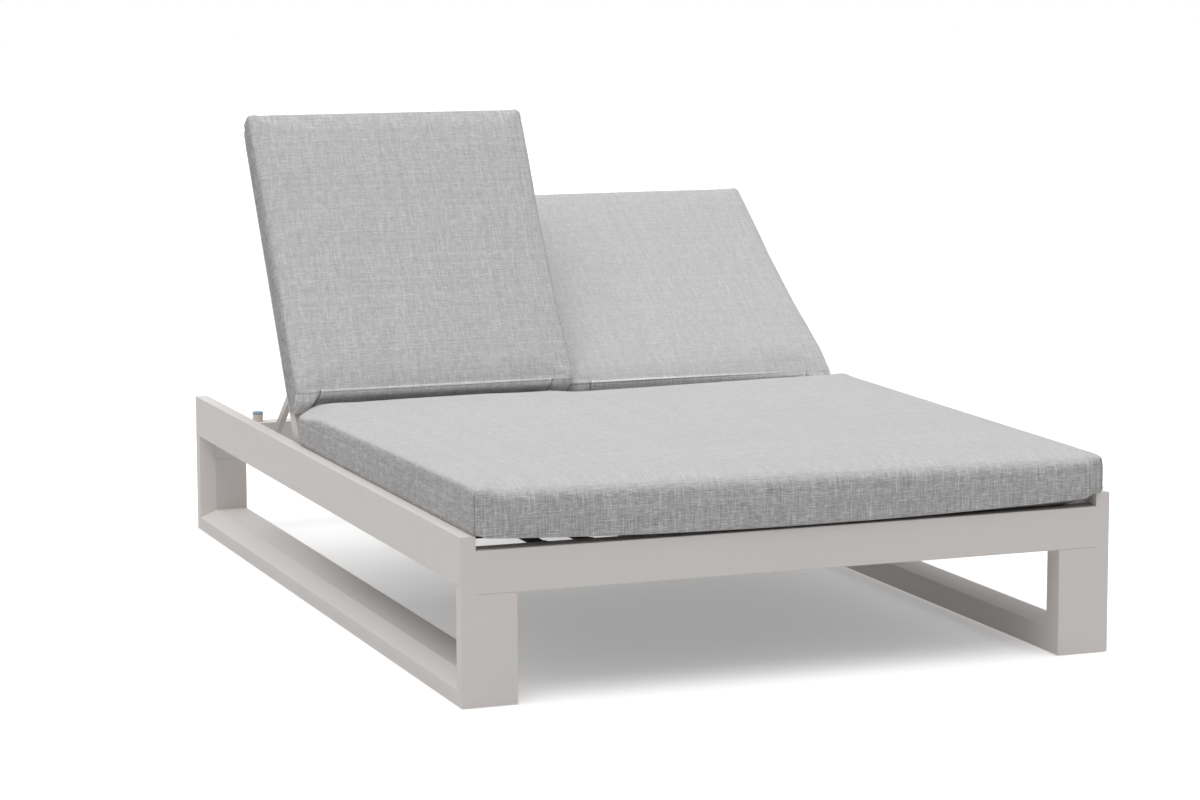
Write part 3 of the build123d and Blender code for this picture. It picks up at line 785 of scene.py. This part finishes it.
class LOUNGER_OT_seat_cushion(bpy.types.Operator):
    """Makes the wide seat cushion, which lies on the straps and laps onto both rails"""
    bl_idname = "lounger.seat_cushion"
    bl_label = "Make the seat cushion"

    def execute(self, context):
        sizes = context.scene.lounger_sizes
        low, high = [np.array(corner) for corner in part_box("seat_cushion")]
        low[1] -= sizes.front_overhang
        high[0] += sizes.side_lap
        high[2] += sizes.seat_rise - sizes.seat_crown
        front, rear = low[1], high[1]
        half_width = (high[0] - low[0]) / 2
        radius, mesh_size = sizes.edge_radius, 0.009
        piece = rounded_block("seat_cushion_cover", low, high, radius, mesh_size)
        shape, held = seat_shape(points_of(piece), low, high, sizes)
        fill_shape(piece, shape, held, sizes.swelling)

        x, y, z = points_of(piece).T
        seam = corner_seam(x, y, half_width, (front, rear), radius)
        boxing = boxing_of(piece)
        push_out(piece, -sizes.seam_depth * near(seam, groove_reach) * ramp(boxing, 0.2, 0.5))
        far = np.ones(len(x))
        # The boxing mask also darkens the upright strips' colour as painted shade, and the underside mask darkens
        # the underside's colour as painted shade
        keep(piece, boxing=boxing, corner_seam=seam, short_seam=far, lip=far, lower_end=0 * far,
             underside=underside_of(piece), contrast=contrast_of(boxing, 0.6))
        x, y, z = points_of(piece).T
        move_points(piece, np.column_stack((x, y, np.maximum(z, seat_bed(x, y, half_width, front)))))
        lay_cloth(piece, high[2], half_width, (front, rear))
        finish_cushion(piece, cushion_cloth(context.scene), "base", "seat_cushion")
        return {"FINISHED"}


class LOUNGER_OT_back_cushions(bpy.types.Operator):
    """Makes the two back cushions, each flat and then raised to its back's angle"""
    bl_idname = "lounger.back_cushions"
    bl_label = "Make the back cushions"

    def execute(self, context):
        for side in sides:
            self.make(context.scene, side)
        return {"FINISHED"}

    def make(self, scene, side):
        sizes = scene.lounger_sizes
        room = BackRoom(side, sizes)
        radius, mesh_size = sizes.edge_radius, 0.007
        piece = rounded_block(f"{side}_back_cushion_cover", room.low, room.high, radius, mesh_size)
        shape, held = back_shape(points_of(piece), room, sizes)
        fill_shape(piece, shape, held, sizes.swelling)

        drop = sew_back(piece, room, sizes)
        points = points_of(piece)
        points[:, 1] -= drop
        move_points(piece, clear_of_frame(points, room))
        lay_cloth(piece, room.high[2], room.half_width, room.ends)
        move_points(piece, points_of(piece) + (room.middle, 0, 0))
        tilt_up(piece, side)
        finish_cushion(piece, cushion_cloth(scene), f"{side}_back", f"{side}_back_cushion")


class LOUNGER_OT_set_stage(bpy.types.Operator):
    """Sets the floor, the soft light and the camera"""
    bl_idname = "lounger.set_stage"
    bl_label = "Set the stage"

    def execute(self, context):
        lay_floor()
        light_world(context.scene)
        hang_lamp("overhead_light", lean=17, turn=-35, strength=1.15, spread=60)
        place_camera(context.scene)
        context.scene.view_settings.view_transform = "Standard"
        return {"FINISHED"}


# Helpers of the operators

def names_in_slot(slot):
    return [part["node"] for part in frame["record"]["subparts"] if part["material_slot"] == slot]


def dress(name, material):
    for place in nodes[name].material_slots:
        place.material = material


def path_or(first, second):
    return first.maths("MAXIMUM", first, second)


def seen_or_mirrored(finish):
    """1 for the camera's own rays and those that a glossy or clear surface sends on, and 0 for the rest."""
    path = finish.node("ShaderNodeLightPath")
    seen = Value(finish, path.outputs["Is Camera Ray"])
    shone = Value(finish, path.outputs["Is Glossy Ray"])
    passed = Value(finish, path.outputs["Is Transmission Ray"])
    return path_or(path_or(seen, shone), passed)


def lay_floor():
    """A pale floor: near white where it is seen, and darker for the light that it throws back."""
    thrown_back, seen = (0.38,) * 3, (0.96,) * 3
    bpy.ops.object.select_all(action="DESELECT")
    bpy.ops.mesh.primitive_plane_add(size=80, location=(0, 0, 0))
    floor = bpy.context.active_object
    floor.name = "studio_floor"
    ground = Finish("studio_floor")
    tone = ground.mixed(seen_or_mirrored(ground), thrown_back, seen)
    glow = ground.mixed(seen_or_mirrored(ground), (0.27,) * 3, (0.28,) * 3)
    ground.set(Base_Color=tone, Roughness=1.0, Specular_IOR_Level=0.0)
    ground.set(Emission_Color=glow, Emission_Strength=1.0)
    ground.material.cycles.emission_sampling = "NONE"
    floor.data.materials.append(ground.material)


def light_world(scene):
    """Plain white for the eye, and for the object a soft light that grows from the horizon upwards."""
    horizon, overhead = 0.15, 1.22
    world = bpy.data.worlds.new("studio")
    scene.world = world
    world.use_nodes = True
    tree = world.node_tree
    tree.nodes.clear()
    white = backdrop(tree)
    soft = backdrop(tree)
    direction = tree.nodes.new("ShaderNodeTexCoord")
    height = tree.nodes.new("ShaderNodeSeparateXYZ")
    tree.links.new(direction.outputs["Generated"], height.inputs[0])
    rising = tree.nodes.new("ShaderNodeMapRange")
    rising.inputs["From Min"].default_value = horizon
    rising.inputs["To Max"].default_value = overhead
    tree.links.new(height.outputs["Z"], rising.inputs["Value"])
    tree.links.new(rising.outputs[0], soft.inputs["Strength"])
    path = tree.nodes.new("ShaderNodeLightPath")
    below = soft
    for ray in ("Is Camera Ray", "Is Glossy Ray", "Is Transmission Ray"):
        mix = tree.nodes.new("ShaderNodeMixShader")
        tree.links.new(path.outputs[ray], mix.inputs[0])
        tree.links.new(below.outputs[0], mix.inputs[1])
        tree.links.new(white.outputs[0], mix.inputs[2])
        below = mix
    output = tree.nodes.new("ShaderNodeOutputWorld")
    tree.links.new(below.outputs[0], output.inputs["Surface"])


def backdrop(tree):
    """A white background of strength 1."""
    made = tree.nodes.new("ShaderNodeBackground")
    made.inputs["Color"].default_value = (1, 1, 1, 1)
    made.inputs["Strength"].default_value = 1.0
    return made


def hang_lamp(name, lean, turn, strength, spread):
    """A broad, even light: how far it leans from straight above, which way, and how wide its source is."""
    lamp = bpy.data.lights.new(name, "SUN")
    lamp.energy = strength
    lamp.angle = radians(spread)
    hung = bpy.data.objects.new(name, lamp)
    hung.rotation_euler = (radians(lean), 0, radians(turn))
    hung.location = (0, 0, 3)
    bpy.context.scene.collection.objects.link(hung)


def place_camera(scene):
    """The photograph's viewpoint, found from the straight edges of the frame."""
    camera_place = (-2.572, -6.748, 1.435)
    to_the_right = radians(20.73)
    downwards = radians(8.01)
    roll = radians(0.18)
    camera = bpy.data.cameras.new("photo_camera")
    camera.sensor_width = 36
    camera.lens = scene.lounger_sizes.camera_lens
    camera.clip_end = 200
    held = bpy.data.objects.new("photo_camera", camera)
    turn = (Matrix.Rotation(-to_the_right, 4, "Z") @ Matrix.Rotation(pi / 2 - downwards, 4, "X")
            @ Matrix.Rotation(-roll, 4, "Z"))
    held.matrix_world = Matrix.Translation(camera_place) @ turn
    scene.collection.objects.link(held)
    scene.camera = held


class LOUNGER_PT_panel(bpy.types.Panel):
    """Lists the sizes, the colours and the steps in order"""
    bl_label = "Double chaise lounger"
    bl_idname = "LOUNGER_PT_panel"
    bl_space_type = "VIEW_3D"
    bl_region_type = "UI"
    bl_category = "Lounger"

    def draw(self, context):
        for group in (context.scene.lounger_sizes, context.scene.lounger_colours):
            column = self.layout.column()
            for name in group.__annotations__:
                column.prop(group, name)
        for operator in operators:
            self.layout.operator(operator.bl_idname)


operators = (LOUNGER_OT_coat_frame, LOUNGER_OT_weave_straps, LOUNGER_OT_finish_fittings,
             LOUNGER_OT_seat_cushion, LOUNGER_OT_back_cushions, LOUNGER_OT_set_stage)
classes = (LoungerSizes, LoungerColours, *operators, LOUNGER_PT_panel)


def register():
    for made in classes:
        bpy.utils.register_class(made)
    bpy.types.Scene.lounger_sizes = bpy.props.PointerProperty(type=LoungerSizes)
    bpy.types.Scene.lounger_colours = bpy.props.PointerProperty(type=LoungerColours)


def unregister():
    del bpy.types.Scene.lounger_colours
    del bpy.types.Scene.lounger_sizes
    for made in reversed(classes):
        bpy.utils.unregister_class(made)


def main():
    register()
    bpy.ops.lounger.coat_frame()
    bpy.ops.lounger.weave_straps()
    bpy.ops.lounger.finish_fittings()
    bpy.ops.lounger.seat_cushion()
    bpy.ops.lounger.back_cushions()
    bpy.ops.lounger.set_stage()


if __name__ == "__main__":
    main()
